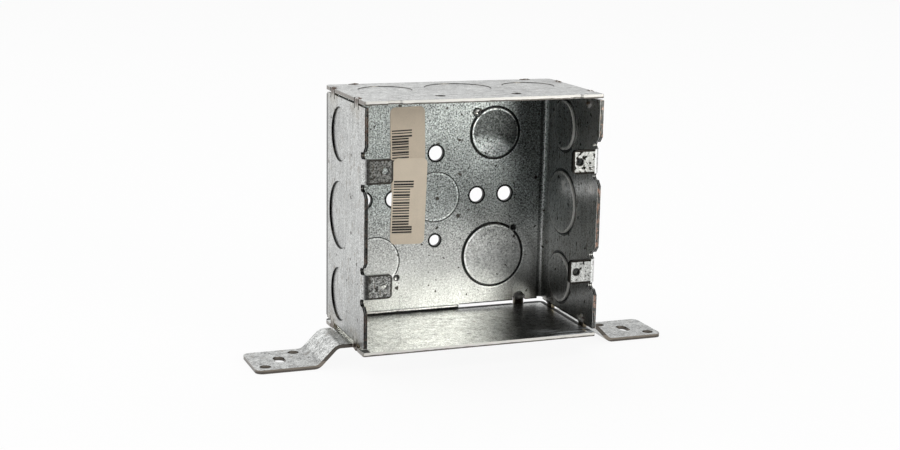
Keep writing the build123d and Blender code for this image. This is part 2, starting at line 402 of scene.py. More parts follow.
# %% Zinc recipe
GRAIN_SCALE, CRYSTAL_SCALE, CLOUD_SCALE = 1500, 2300, 80
CRYSTAL_SHARE, CLOUD_SHARE = 0.20, 0.5
GRAIN_RELIEF = 0.6
ZINC_BUMP, ZINC_BUMP_DEPTH = 0.25, 0.03 * MM
ZINC = (0.482, 0.490, 0.480, 1)


def start_zinc(name):
    material, tree = new_material(name)
    place = node(tree, "TexCoord").outputs["Object"]
    split = node(tree, "SeparateXYZ", {0: place})
    return material, tree, place, split.outputs["X"], split.outputs["Y"], split.outputs["Z"]


def zinc_tone(tree, place, grain_gain, streak_gain, stretch):
    grain = cloudy(tree, place, GRAIN_SCALE, RICH)
    crystal = node(tree, "TexVoronoi", {"Vector": place, "Scale": CRYSTAL_SCALE}).outputs["Color"]
    crystal = axis_of(tree, crystal, "X")
    streak = cloudy(tree, stretched(tree, place, stretch), 1.0, RICH)
    salt = maths(tree, "ADD", swing(tree, grain, 1.0), swing(tree, crystal, CRYSTAL_SHARE))
    tone = maths(tree, "MULTIPLY_ADD", salt, grain_gain, 1.0)
    tone = maths(tree, "MULTIPLY_ADD", swing(tree, streak, 1.0), streak_gain, tone)
    tone = maths(tree, "ADD", tone, swing(tree, cloudy(tree, place, CLOUD_SCALE), CLOUD_SHARE))
    height = maths(tree, "MULTIPLY_ADD", grain, GRAIN_RELIEF, streak)
    return tone, height


def close_zinc(tree, colour, height, roughness, metallic):
    close_material(tree, {"Base Color": colour, "Metallic": metallic, "Roughness": roughness,
                          "Normal": bumps(tree, height, ZINC_BUMP, ZINC_BUMP_DEPTH)})


print("grain of about", round(1 / GRAIN_SCALE / MM, 2), "mm")

# %% [markdown]
# ## Specks and burns
# Dross in the zinc bath leaves dark specks, and each weld burns the coat round it. Specks could be placed
# one by one, but a Voronoi texture already scatters one point in each cell, and its random colour picks
# the few cells that keep theirs. For the burns the coordinates are folded about the middle of the box,
# so that two places stand for all twelve welds.

# %% Specks
# Size of a cell, radius of its speck, share of the cells that keep one
SPECK_SIZES = ((3.6 * MM, 0.54 * MM, 0.09), (9.0 * MM, 0.90 * MM, 0.20))
SPECK_SHAKE = 2.4 * MM
SHAKE_SCALE = 600
SPOT_CORE = 0.6


def pin_marks(tree, place, cell, radius, share, dimensions="3D"):
    """Sparse round spots: one in each cell of the given size, kept in a share of the cells."""
    sockets = {"Vector": place, "Scale": 1 / cell}
    cells = node(tree, "TexVoronoi", sockets, voronoi_dimensions=dimensions)
    spot = span(tree, cells.outputs["Distance"], SPOT_CORE * radius / cell, radius / cell, 1.0, 0.0)
    return both(tree, spot, under(tree, axis_of(tree, cells.outputs["Color"], "X"), share))


def ragged_specks(tree, place, first, second):
    """Specks of uneven outline on a flat face that lies along two of the axes."""
    shake = node(tree, "TexNoise", {"Vector": place, "Scale": SHAKE_SCALE, "Detail": PLAIN})
    sockets = {0: shake.outputs["Color"], 1: (SPECK_SHAKE,) * 3, 2: place}
    shaken = node(tree, "VectorMath", sockets, operation="MULTIPLY_ADD").outputs[0]
    flat = point(tree, axis_of(tree, shaken, first), axis_of(tree, shaken, second), 0.0)
    return either(tree, *(pin_marks(tree, flat, *size, "2D") for size in SPECK_SIZES))


print("speck radii:", [round(radius / MM, 2) for cell, radius, share in SPECK_SIZES], "mm")

# %% Burns
BURN_CORE = 0.35
BURN_SCALE = 700
SCORCH_AND_SHADE_BROWN = (0.075, 0.045, 0.028, 1)


def weld_ring(tree, place, x, y, z, reach, ragged_by):
    """Ragged mask round the welds: folded coordinates bring all the welds to two places."""
    side = maths(tree, "ABSOLUTE", x)
    rise = maths(tree, "ABSOLUTE", maths(tree, "SUBTRACT", z, middle))
    depth = maths(tree, "ABSOLUTE", y)
    ragged = swing(tree, cloudy(tree, place, BURN_SCALE), ragged_by)
    burns = []
    for spot, along in (((weld_x, back, half_height), y), ((wall, weld_y, half_height), depth)):
        away = distance(tree, point(tree, side, along, rise), spot)
        away = maths(tree, "ADD", away, ragged)
        burns.append(span(tree, away, BURN_CORE * reach, reach, 1.0, 0.0))
    return either(tree, *burns)


print("welds at x", round(weld_x / MM, 1), "and y", round(weld_y / MM, 1), "mm")

# %% [markdown]
# ## The wrapper: its faces
# The folded sheet shows a coarse grain on the back wall, upright streaks on the side walls and dull or
# speckled tabs in front. Faces could be picked and given materials of their own, but it is one sheet, so
# it wears one material, and windows on the coordinates choose what shows where.

# %% Wrapper faces
HAIR, SOFT = 0.05 * MM, 0.02 * MM
SIDE_LIFT, BACK_LIFT = 0.7 * MM, 0.4 * MM
DISC_PROUD = 0.8 * MM
BACK_FROM = (back - 4.0 * MM, back - 2.4 * MM)
LEFT_FACE = (-wall, -wall + 0.3 * MM)
TAB_HALF, TAB_REACH = 5.0 * MM, 4.8 * MM
TAB_BEND = (wall - 2.6 * MM, wall - 2.2 * MM)
wrapper_zinc, tree, place, x, y, z = start_zinc("wrapper_zinc")
side = maths(tree, "ABSOLUTE", x)
rise = maths(tree, "ABSOLUTE", maths(tree, "SUBTRACT", z, middle))
on_left, on_lower = under(tree, x, 0.0), under(tree, z, middle)
on_upper = outside_of(tree, on_lower)
on_back = span(tree, y, *BACK_FROM)
on_sides = outside_of(tree, on_back)
inside_back = both(tree, on_back, under(tree, y, inner_back + HAIR))
right_inside = window(tree, x, inner_wall - DISC_PROUD, inner_wall + HAIR, SOFT)
left_outside = span(tree, x, *LEFT_FACE, 1.0, 0.0)

in_tab_row = window(tree, rise, DEVICE_PITCH / 2 - TAB_HALF, DEVICE_PITCH / 2 + TAB_HALF, SOFT)
on_tabs = both(tree, in_tab_row, under(tree, y, front + TAB_REACH))
tab_bend = both(tree, on_tabs, span(tree, side, *TAB_BEND))
tab_flat = both(tree, on_tabs, outside_of(tree, tab_bend))
left_flat = both(tree, tab_flat, on_left)
right_flat = both(tree, tab_flat, outside_of(tree, on_left))
print("wrapper faces:", len(tree.nodes), "nodes")

# %% [markdown]
# ## The wrapper: cut and folded edges
# A punch cuts through part of the sheet and tears the rest. So the cuts are dark, with painted shade
# in the grooves and hole walls, and the rims of the pushed discs, which stand proud of the wall, are
# rough and scatter light. Edges could be selected by their angle, but every cut lies between the two
# faces of its wall, so one window finds them all.

# %% Cut and torn edges
SHEAR_EDGE, SHEAR_SOFT = 0.1 * MM, 0.04 * MM
BEND_ROOM, CORNER_ROOM = 3.0 * MM, 4.0 * MM
SIDE_TORN = (inner_wall - SIDE_LIFT + 0.04 * MM, inner_wall - 0.04 * MM)
BACK_TORN = (inner_back - BACK_LIFT + 0.03 * MM, inner_back - 0.03 * MM)
DISC_DEPTHS, DEPTH_SOFT = (-14 * MM, 22 * MM), 0.1 * MM
SIDE_DISC_RISE, BACK_DISC_RISE = 43.2 * MM, 43.0 * MM
in_side = both(tree, window(tree, side, inner_wall + SHEAR_EDGE, wall - SHEAR_EDGE, SHEAR_SOFT),
               outside_of(tree, at_level(tree, side, wall - SIDE_LIFT)),
               under(tree, y, back - BEND_ROOM), outside_of(tree, on_tabs))
in_back = both(tree, window(tree, y, inner_back + SHEAR_EDGE, back - SHEAR_EDGE, SHEAR_SOFT),
               outside_of(tree, at_level(tree, y, back - BACK_LIFT)),
               under(tree, side, wall - BEND_ROOM))
proud_side = both(tree, window(tree, side, *SIDE_TORN, SOFT),
                  window(tree, y, *DISC_DEPTHS, DEPTH_SOFT), under(tree, rise, SIDE_DISC_RISE))
proud_back = both(tree, window(tree, y, *BACK_TORN, SOFT),
                  under(tree, side, wall - CORNER_ROOM), under(tree, rise, BACK_DISC_RISE))
torn = either(tree, proud_side, proud_back)
print("cut and torn edges:", len(tree.nodes), "nodes")

# %% Painted shade and light at the bends, the feet of the walls and the inner corner
SKIN = 0.1 * MM
BEND_DEPTH, BEND_SIDE = (back - 5.0 * MM, back - 4.2 * MM), (wall - 0.25 * MM, wall - SKIN)
FOOT_FROM, FOOT_FADE = 10 * MM, (wall_edge + 0.3 * MM, wall_edge + 0.6 * MM)
LEFT_FOOT_FADE = (wall_edge + 0.25 * MM, wall_edge + 0.5 * MM)
LINE_SIDE, LINE_SOFT = (inner_wall - 2.6 * MM, inner_wall - 1.3 * MM), 0.2 * MM
LINE_DEPTH = (inner_back - 0.2 * MM, inner_back - SKIN)
GLINT_SIDE = (inner_wall - 1.1 * MM, inner_wall - 0.3 * MM)
GLINT_DEPTH = (inner_back - 1.1 * MM, inner_back - 0.15 * MM)
# Painted shade on the rear bends, along the feet of the walls and in a line beside the inner corner, and a
# painted glint where the inner corner is folded
rear_bend_shade = both(tree, span(tree, y, *BEND_DEPTH), span(tree, side, *BEND_SIDE))
wall_foot_shade = both(tree, span(tree, z, *FOOT_FADE, 1.0, 0.0),
                 under(tree, x, wall - SKIN), outside_of(tree, under(tree, x, FOOT_FROM)))
left_foot_shade = both(tree, span(tree, z, *LEFT_FOOT_FADE, 1.0, 0.0), under(tree, x, -wall + SKIN))
corner_shade_line = both(tree, window(tree, x, *LINE_SIDE, LINE_SOFT), span(tree, y, *LINE_DEPTH))
corner_glint = both(tree, window(tree, x, *GLINT_SIDE, SKIN), window(tree, y, *GLINT_DEPTH, SKIN))
print("wall feet at", round(wall_edge / MM, 2), "mm")

# %% [markdown]
# ## The wrapper: holes and discs of the back wall
# Painted shade gathers round each hole and in the groove of each knockout, and the rim of a disc that is
# turned to the lamp gets a painted highlight. Each disc hangs on a tie, a small bridge that the punch
# left beside a dimple.
# Light alone gives little of this at such a small step, so rings and spots are drawn about the same
# centres that the punch used.

# %% Dark rings
PATTERN_X, PATTERN_Z = -1.9 * MM, 59.9 * MM
HOLE_STEP, HOLE_ROW = 19.05 * MM, 32.2 * MM
HOLE, LOW_HOLE = 3.2 * MM, 2.4 * MM
KNOCKOUT_STEP = 27.0 * MM
SMALL, LARGE = 11.1 * MM, 13.9 * MM
HOLE_RING, DISC_RING = (-0.2 * MM, 0.8 * MM), (-0.1 * MM, 0.7 * MM)
flat_place = point(tree, x, 0.0, z)


def on_pattern(along, up):
    """Point on the back wall, measured from the middle of its pattern of holes."""
    return Vector((PATTERN_X + along, 0, PATTERN_Z + up))


holes = [(on_pattern(along, 0), HOLE) for along in (-HOLE_ROW, -HOLE_STEP, HOLE_STEP, HOLE_ROW)]
holes += [(on_pattern(0, HOLE_STEP), HOLE), (on_pattern(0, -HOLE_STEP), LOW_HOLE)]
right_discs = [(on_pattern(KNOCKOUT_STEP, KNOCKOUT_STEP), SMALL),
               (on_pattern(KNOCKOUT_STEP, -KNOCKOUT_STEP), LARGE)]
dark_rings = [ring(tree, flat_place, *hole, HOLE_RING) for hole in holes]
dark_rings += [ring(tree, flat_place, *disc, DISC_RING) for disc in right_discs]
print("dark rings:", len(dark_rings))

# %% Dimples at the ties
TIE_REACH = 1.2 * MM
# Way across and up to the disc, its radius, degrees of its tie
TIES = ((1, 1, SMALL, 133), (1, -1, LARGE, 50), (-1, -1, SMALL, -38))
DIMPLE, DIMPLE_DEPTH = (1.5 * MM, 1.8 * MM), 0.3 * MM
DIMPLE_SHINE, DIMPLE_SHADE = (0.7 * MM, 1.5 * MM), (0.8 * MM, 1.9 * MM)
DIMPLE_RING = (1.5 * MM, 2.1 * MM)
FAINT = 0.45
dimple_centres = []
for across, up, radius, tie in TIES:
    towards = Vector((math.cos(math.radians(tie)), 0, math.sin(math.radians(tie))))
    centre = on_pattern(across * KNOCKOUT_STEP, up * KNOCKOUT_STEP)
    dimple_centres.append(centre + (radius + TIE_REACH) * towards)
lit_dimple, dark_dimple, faint_dimple = dimple_centres
dimples = either(tree, *(round_spot(tree, flat_place, centre, *DIMPLE) for centre in dimple_centres))
# Painted shade: dark rings round the holes and the two right discs
ring_shade = both(tree, either(tree, *dark_rings), on_back, outside_of(tree, dimples))
in_dimple = both(tree, on_back, under(tree, y, back - DIMPLE_DEPTH))
dimples = both(tree, dimples, in_dimple)
# Painted highlight on the lit dimple, and painted shade round it and on the other two dimples
dimple_light = both(tree, round_spot(tree, flat_place, lit_dimple, *DIMPLE_SHINE), in_dimple)
dimple_dark = either(tree, ring(tree, flat_place, lit_dimple, 0.0, DIMPLE_RING),
                     round_spot(tree, flat_place, dark_dimple, *DIMPLE_SHADE),
                     both(tree, round_spot(tree, flat_place, faint_dimple, *DIMPLE_SHADE), FAINT))
dimple_dark = both(tree, dimple_dark, in_dimple)
# Painted shade: every cut face, groove and hole wall inside the sheet is darkened
sheared = either(tree, in_side, both(tree, in_back, outside_of(tree, dimples)))
print("dimples:", [tuple(round(c / MM, 1) for c in centre) for centre in dimple_centres])

# %% Lit rims
GROOVE = 0.5 * MM
PROUD_RIM, LEVEL_RIM = (-GROOVE - 0.8 * MM, -GROOVE), (-GROOVE - 0.7 * MM, -GROOVE)
OUTER_LIP = (0.8 * MM, 1.3 * MM)
# Where the light starts and ends across a disc, in radii from its middle
RIM_LIT, LIP_LIT, LEVEL_LIT = (-0.4, 0.7), (-1.0, -0.2), (-0.8, 0.2)
LIP_GLINT, RIM_FAINT = 0.6, 0.2
level_discs = ((on_pattern(0, 0), 0.8), (on_pattern(-KNOCKOUT_STEP, -KNOCKOUT_STEP), 0.4))
lit_rims = []


def lit_ring(centre, radius, band, across, ends, dim, bright):
    """Ring on the back wall whose light changes along a direction across its disc."""
    light = span(tree, across, ends[0] * radius, ends[1] * radius, dim, bright)
    lit_rims.append(both(tree, ring(tree, flat_place, centre, radius, band), light))


for centre, radius in right_discs:
    rightwards = maths(tree, "SUBTRACT", x, centre.x)
    upper_left = maths(tree, "SUBTRACT", maths(tree, "SUBTRACT", z, centre.z), rightwards)
    lit_ring(centre, radius, PROUD_RIM, upper_left, RIM_LIT, 0.0, 1.0)
    lit_ring(centre, radius, OUTER_LIP, upper_left, LIP_LIT, LIP_GLINT, 0.0)
for centre, glint in level_discs:
    rightwards = maths(tree, "SUBTRACT", x, centre.x)
    lit_ring(centre, SMALL, LEVEL_RIM, rightwards, LEVEL_LIT, RIM_FAINT, glint)
rim_light = both(tree, either(tree, *lit_rims), inside_back)
print("lit rims:", len(lit_rims))

# %% [markdown]
# ## The wrapper: shades of the back wall
# The back wall mirrors the room in broad soft patches: dim in the middle, pale low on the left, and the
# upper disc, which is tilted a little, is half dark and half pale. More cards could throw these
# patches, but they would also fall on every other wall, so they are painted into the coat as painted
# reflections, with a cool painted tint high on the wall.

# %% Painted reflections on the back wall
TILT_FROM, TILT = 27 * MM, 0.8
WAVE_SCALE, WAVE = 160, 3 * MM
DISC_FACE, DARK_FROM = (9.9 * MM, 10.3 * MM), (82.0 * MM, 87.5 * MM)
DIM_UP, DIM_TO_RIGHT, DIM_FROM_LEFT = (58 * MM, 88 * MM), (10 * MM, 24 * MM), (-34 * MM, -20 * MM)
DIM_FAR_LEFT = 0.4
COOL_UP = (35 * MM, 62 * MM)
tilted = maths(tree, "MAXIMUM", maths(tree, "SUBTRACT", x, TILT_FROM), 0.0)
slant = maths(tree, "ADD", z, maths(tree, "MULTIPLY", tilted, TILT))
slant = maths(tree, "ADD", slant, swing(tree, cloudy(tree, place, WAVE_SCALE), WAVE))
upper_disc, upper_radius = right_discs[0]
disc = both(tree, inside_back, round_spot(tree, flat_place, upper_disc, *DISC_FACE))
disc_dark = both(tree, disc, span(tree, slant, *DARK_FROM))
disc_pale = both(tree, disc, outside_of(tree, disc_dark))


def patch(along, up, inner, outer):
    """Round soft patch of painted reflection on the inside of the back wall, in millimetres."""
    centre = (along * MM, 0, up * MM)
    return both(tree, inside_back, round_spot(tree, flat_place, centre, inner * MM, outer * MM))


dim_middle = patch(along=2, up=66, inner=4, outer=28)
dim_right = patch(along=19, up=57, inner=3, outer=20)
pale_left = patch(along=-20, up=28, inner=4, outer=24)
dim_upper = both(tree, inside_back, span(tree, z, *DIM_UP), span(tree, x, *DIM_TO_RIGHT, 1.0, 0.0),
                 span(tree, x, *DIM_FROM_LEFT, DIM_FAR_LEFT, 1.0))
cool_upper_reflection = both(tree, inside_back, span(tree, z, *COOL_UP))
print("tilted disc of radius", round(upper_radius / MM, 1), "mm,", len(tree.nodes), "nodes so far")

# %% [markdown]
# ## The wrapper: discs of the side walls
# Each side wall has a column of three knockouts. Seen from inside the right wall, their rims get a
# painted highlight on the side of the open front, their grooves and steps painted shade, and two
# scuffed spots a painted glint. The inside of the right wall is painted lighter, more so at its upper
# front, and darker low down. Folding left and right together would put the glints on both walls, so
# these masks also ask for the inside of the right wall.

# %% Marks and painted light on the side walls
DISC_ROW = 6.4 * MM
DISC_STEP = 33.3 * MM
GROOVE_BAND, STEP_BAND = (-0.2 * MM, 0.7 * MM), (-0.45 * MM, 0.1 * MM)
RIM_BAND = (-GROOVE - 1.0 * MM, -GROOVE)
RIM_RUN, RIM_FADED = (DISC_ROW - 8 * MM, DISC_ROW + 6 * MM), 0.25
LOW_PART, FRONT_PART, UPPER_PART = (16 * MM, 36 * MM), (-22 * MM, -4 * MM), (58 * MM, 84 * MM)
SCUFF_GLINTS = ((3.5 * MM, 66.5 * MM, 4.2 * MM), (-21.5 * MM, 69.5 * MM, 3.5 * MM))  # along, up, reach
SCUFF_GLINT_CORE, SCUFF_GLINT_SCALE, SCUFF_GLINT_FROM = 0.5 * MM, 500, (0.35, 0.6)
side_place = point(tree, 0.0, y, z)
side_discs = [((0, DISC_ROW, middle + up), radius)
              for up, radius in ((-DISC_STEP, SMALL), (0.0, LARGE), (DISC_STEP, SMALL))]


def side_rings(band):
    return either(tree, *(ring(tree, side_place, *disc, band) for disc in side_discs))


proud_level = wall - SIDE_LIFT
# Painted shade in the grooves and on the steps of the side discs, painted highlight on their rims
side_groove_shade = both(tree, side_rings(GROOVE_BAND), right_inside)
side_step_shade = both(tree, side_rings(STEP_BAND), span(tree, side, proud_level - SKIN, proud_level - HAIR))
side_light = both(tree, side_rings(RIM_BAND), right_inside, span(tree, y, *RIM_RUN, 1.0, RIM_FADED))
# Painted shade low on the inside of the right wall, painted light at its upper front, and painted glints
# on two scuffed spots
wall_low_shade = both(tree, right_inside, span(tree, z, *LOW_PART, 1.0, 0.0))
wall_front_light = both(tree, right_inside, span(tree, y, *FRONT_PART, 1.0, 0.0), span(tree, z, *UPPER_PART))
scuff_glints = either(tree, *(round_spot(tree, side_place, (0, along, up), SCUFF_GLINT_CORE, reach)
                        for along, up, reach in SCUFF_GLINTS))
scuff_glints = both(tree, scuff_glints, right_inside, span(tree, cloudy(tree, place, SCUFF_GLINT_SCALE, RICH), *SCUFF_GLINT_FROM))
print("side discs:", len(side_discs), "scuffs:", len(SCUFF_GLINTS))

# %% [markdown]
# ## The wrapper: tabs
# The tabs were bent and tapped after the zinc was on, so they are smeared, and darker along their
# borders and round the screw holes of the right ones. The left ones are dull, the upper of them
# darkened by painted shade, the right ones bright with black smears, and the bends of all four carry a
# painted highlight. The smears and the border could be a layer of their own, but a noise that is raised
# near the border gives both the outline and the smears inside it.

# %% Marks on the tabs
TAB_TIP = DEVICE_SPAN / 2 - 3.1 * MM
SMEAR_SCALE = 700
SMEAR_FROM = (0.58, 0.63)
BORDER_RAISE, UPPER_RAISE = 0.12, 0.03
OUTLINE, SMEAR_BORDER = (1.0 * MM, 0.6 * MM), (1.2 * MM, 0.3 * MM)
SCREW_HOLE_EDGE = (1.5 * MM, 1.9 * MM)
tab_middle = maths(tree, "ABSOLUTE", maths(tree, "SUBTRACT", rise, DEVICE_PITCH / 2))


def tab_border(inner, outer):
    """Edge of the tabs, faded between two distances from it."""
    return either(tree, span(tree, tab_middle, TAB_HALF - inner, TAB_HALF - outer),
                  span(tree, side, TAB_TIP + outer, TAB_TIP + inner, 1.0, 0.0))


screw_hole = (DEVICE_SPAN / 2, 0, DEVICE_PITCH / 2)
hole_edge = round_spot(tree, point(tree, side, 0.0, rise), screw_hole, *SCREW_HOLE_EDGE)
outline = either(tree, tab_border(*OUTLINE), both(tree, hole_edge, right_flat))
smeared = maths(tree, "MULTIPLY_ADD", tab_border(*SMEAR_BORDER), BORDER_RAISE,
                cloudy(tree, place, SMEAR_SCALE, RICH))
smeared = maths(tree, "MULTIPLY_ADD", both(tree, right_flat, on_upper), UPPER_RAISE, smeared)
tab_smear = both(tree, tab_flat, either(tree, span(tree, smeared, *SMEAR_FROM), outline))
print("tabs reach in to x", round(TAB_TIP / MM, 2), "mm")

# %% [markdown]
# ## The wrapper: tone
# Now the masks meet the recipe. The tone is one number for brightness: the grain is strongest high on the
# back wall, and each mask then makes its place darker or lighter, most of them as painted light and
# shade. A tree of mixed colours could do the same, but factors on a single number can be compared and
# trimmed one at a time.

# %% Wrapper tone
SIDE_STREAKS = (1500, 1500, 45)
DARKEST = 0.12
PLAIN_GRAIN, LOW_BACK_MORE, HIGH_BACK_MORE, TAB_MORE = 2.0, -0.4, 2.0, 2.0
PLAIN_STREAKS, SIDE_MORE = 0.2, 1.0
BACK_RISE, LEFT_RISE = (22 * MM, 60 * MM), (18 * MM, 45 * MM)
back_grain = span(tree, z, *BACK_RISE, LOW_BACK_MORE, HIGH_BACK_MORE)
grain_gain = maths(tree, "MULTIPLY_ADD", on_back, back_grain, PLAIN_GRAIN)
grain_gain = maths(tree, "MULTIPLY_ADD", left_flat, TAB_MORE, grain_gain)
streak_gain = maths(tree, "MULTIPLY_ADD", on_sides, SIDE_MORE, PLAIN_STREAKS)
tone, height = zinc_tone(tree, place, grain_gain, streak_gain, SIDE_STREAKS)
left_low = both(tree, left_outside, span(tree, z, *LEFT_RISE, 1.0, 0.0))
# Each pair is a mask and the factor of its tone. Nearly all of these are painted light and shade:
# painted shade on the upper left tab, the rear bends, the lower outside of the left wall, the low inside
# of the right wall, the dim patches of the back wall and the dark half of the upper disc; painted light
# on the bends of the tabs, the outside of the left wall, the inside of the right wall and its upper
# front, the scuff glints, the pale patch and the pale half of the disc.
tone = shaded(
    tree, tone,
    (both(tree, left_flat, on_upper), 0.55), (both(tree, left_flat, on_lower), 0.98), (right_flat, 0.98),
    (tab_bend, 1.15), (rear_bend_shade, 0.25), (left_outside, 1.04), (left_low, 0.77), (right_inside, 1.50),
    (wall_low_shade, 0.54), (wall_front_light, 1.45), (scuff_glints, 1.9), (dim_middle, 0.60), (dim_right, 0.50),
    (dim_upper, 0.76), (pale_left, 1.13), (disc_dark, 0.26), (disc_pale, 1.5))
tone = maths(tree, "MAXIMUM", tone, DARKEST)
# Painted highlight on the lit rims, the lit dimple and the inner corner; painted shade beside the corner,
# round the holes and dimples, along the feet of the walls, in the grooves and on the steps of the side
# discs, and in the cuts
tone = shaded(
    tree, tone,
    (either(tree, rim_light, dimple_light), 2.0), (corner_glint, 1.7), (corner_shade_line, 0.45),
    (either(tree, ring_shade, dimple_dark, wall_foot_shade), 0.05), (side_groove_shade, 0.28),
    (either(tree, side_step_shade, left_foot_shade), 0.35), (sheared, 0.10))
print("wrapper tone:", len(tree.nodes), "nodes")

# %% [markdown]
# ## The wrapper: colour
# Zinc is a cool grey, and what lies on it has colours of its own: brown flecks on the rolled sides, dark
# pits and specks, straw and brown heat marks round the welds, rust on the cut rim and pale torn metal.
# Each could be a material of its own, but they overlap and fade into each other. So they are laid over
# the zinc in turn, with the torn metal on top, because a tear bares what lies under every coat.

# %% Dirt and painted highlights of the wrapper
FLECK_STRETCH = (700, 700, 260)
FLECK_FROM = (0.60, 0.67)
# Size of a cell, radius of its spot, share of the cells that keep one
PITS = (2.3 * MM, 0.32 * MM, 0.35)
PINS = ((4.5 * MM, 0.40 * MM, 0.25), (9.0 * MM, 0.60 * MM, 0.15))
RUST_SCALE, RUST_FROM, RUST_DEPTH = 800, (0.52, 0.62), 0.2 * MM
RUST_LEFT, RUST_RIGHT = 0.3, 0.75
RIM_HIGHLIGHT, SCUFF_GLINT_SHARE = 0.9, 0.85
fleck = span(tree, cloudy(tree, stretched(tree, place, FLECK_STRETCH), 1.0, RICH), *FLECK_FROM)
fleck = both(tree, fleck, on_sides, outside_of(tree, right_flat))
pits = both(tree, pin_marks(tree, place, *PITS), on_back)
pins = either(tree, pits, *(pin_marks(tree, place, *size) for size in PINS))
specks = either(tree, *(both(tree, ragged_specks(tree, place, first, "Z"), on_face) for first, on_face in
                        (("X", inside_back), ("Y", right_inside), ("Y", left_outside))))
rim_rust = both(tree, in_side, under(tree, y, front + RUST_DEPTH),
                span(tree, cloudy(tree, place, RUST_SCALE), *RUST_FROM))
rust_share = span(tree, x, -MM, MM, RUST_LEFT, RUST_RIGHT)
# Painted highlight: the lit rims of the side discs and the scuff glints turn pale and matt
rim_and_scuff_highlight = either(tree, both(tree, side_light, RIM_HIGHLIGHT), both(tree, scuff_glints, SCUFF_GLINT_SHARE))
print("dirt of the wrapper:", len(tree.nodes), "nodes")

# %% Wrapper finish
COOL_REFLECTION_TINT = (0.94, 1.0, 1.015, 1)
PALE_TORN_AND_HIGHLIGHT = (0.90, 0.89, 0.85, 1)
FLECK_BROWN = (0.22, 0.19, 0.155, 1)
PIN_DARK = (0.06, 0.055, 0.05, 1)
SMEAR_BLACK = (0.018, 0.016, 0.014, 1)
HEAT_STRAW = (0.41, 0.365, 0.27, 1)
EDGE_RUST = (0.33, 0.20, 0.15, 1)
SATIN, TORN_ROUGHER, DIMPLE_SMOOTHER = 0.30, 0.22, -0.12
HIGHLIGHT_MATT = -0.75
STRAW_REACH, STRAW_RAGGED, BROWN_REACH, BROWN_RAGGED = 11 * MM, 9 * MM, 4.2 * MM, 4 * MM
colour = blend(tree, 1.0, ZINC, tone, "MULTIPLY")
# Painted reflection: a cool tint high on the inside of the back wall
colour = blend(tree, cool_upper_reflection, colour, COOL_REFLECTION_TINT, "MULTIPLY")
# Each row is a mask, the strength of its coat and its colour
colour = layered(
    tree, colour,
    # The first pale coat is the painted highlight of rims, glints and the lit dimple; the last is torn
    # metal
    (either(tree, rim_and_scuff_highlight, dimple_light), 1.0, PALE_TORN_AND_HIGHLIGHT), (fleck, 0.65, FLECK_BROWN),
    (tab_smear, 0.9, PIN_DARK), (both(tree, tab_smear, right_flat), 1.0, SMEAR_BLACK),
    (pins, 0.8, PIN_DARK), (specks, 1.0, PIN_DARK),
    (weld_ring(tree, place, x, y, z, STRAW_REACH, STRAW_RAGGED), 0.3, HEAT_STRAW),
    (weld_ring(tree, place, x, y, z, BROWN_REACH, BROWN_RAGGED), 0.9, SCORCH_AND_SHADE_BROWN),
    (rim_rust, rust_share, EDGE_RUST), (torn, 1.0, PALE_TORN_AND_HIGHLIGHT))
roughness = maths(tree, "MULTIPLY_ADD", torn, TORN_ROUGHER, SATIN)
roughness = maths(tree, "MULTIPLY_ADD", dimple_light, DIMPLE_SMOOTHER, roughness)
close_zinc(tree, colour, height, roughness, maths(tree, "MULTIPLY_ADD", rim_and_scuff_highlight, HIGHLIGHT_MATT, 1.0))
dress("box_wrapper", wrapper_zinc)

# %% [markdown]
# ## The plates: their flat faces
# Both plates are sheared from coated sheet, as the wrapper is. The streaks of the top plate run across
# the box, and the bracket is mottled from handling. Inside the box its plate is painted brightest on
# the left, with a painted sheen of pale streaks on the right and painted shade in the seams. Both plates
# are painted lighter on the left than on the right, with the feet darker and the slopes of the arms
# lighter. Two materials could be written out, but one recipe with a level and a few gains serves both
# plates.

# %% Faces of a plate
TOP_LIFT = 0.2 * MM
TOP_DISC = (LARGE + inner_wall) / 2
TOP_STEP = (-0.5 * MM, 0.1 * MM)
BACK_SEAM = (inner_back - 1.6 * MM, inner_back - 1.1 * MM)
RIGHT_SEAM = (inner_wall - 0.9 * MM, inner_wall - 0.5 * MM)
CORNER_SIDE = (-inner_wall + 1.2 * MM, -inner_wall + 1.8 * MM)
CORNER_DEPTH = (front + 4.0 * MM, front + 5.5 * MM)
SHEEN_STRETCH, SHEEN_FROM = (70, 800, 70), (0.48, 0.60)
SHEEN_SIDE, SHEEN_DEPTH = (20 * MM, 34 * MM), (-24 * MM, -10 * MM)


def seam_shade(tree, x, y):
    """Painted shade of the inside: dark strips along the back and right seams and in the left front
    corner.
    """
    left_corner = both(tree, span(tree, x, *CORNER_SIDE, 1.0, 0.0),
                       span(tree, y, *CORNER_DEPTH, 1.0, 0.0))
    return either(tree, span(tree, y, *BACK_SEAM), span(tree, x, *RIGHT_SEAM), left_corner)


def disc_step_shade(tree, y, z, side):
    """Painted shade on the step round the three discs of the top plate."""
    flat = point(tree, side, y, 0.0)
    rings = (ring(tree, flat, (along, DISC_ROW, 0), radius, TOP_STEP)
             for along, radius in ((0, LARGE), (TOP_DISC, SMALL)))
    on_top = span(tree, z, roof - TOP_LIFT - SKIN, roof - TOP_LIFT - HAIR)
    return both(tree, either(tree, *rings), on_top)


def painted_sheen_streaks(tree, place, x, y):
    """Painted sheen: pale reflection streaks at the right front of the inside."""
    marks = cloudy(tree, stretched(tree, place, SHEEN_STRETCH), 1.0)
    return both(tree, span(tree, x, *SHEEN_SIDE), span(tree, y, *SHEEN_DEPTH, 1.0, 0.0),
                span(tree, marks, *SHEEN_FROM))


print("outer discs of the top plate at x", round(TOP_DISC / MM, 1), "mm")

# %% Tone of a plate
MOTTLE_SCALE = 350
LEFT_GAIN, INSIDE_GAIN, RIGHT_GAIN = 1.08, 0.24, 0.90
PLATE_RUN = (-42 * MM, 25 * MM)


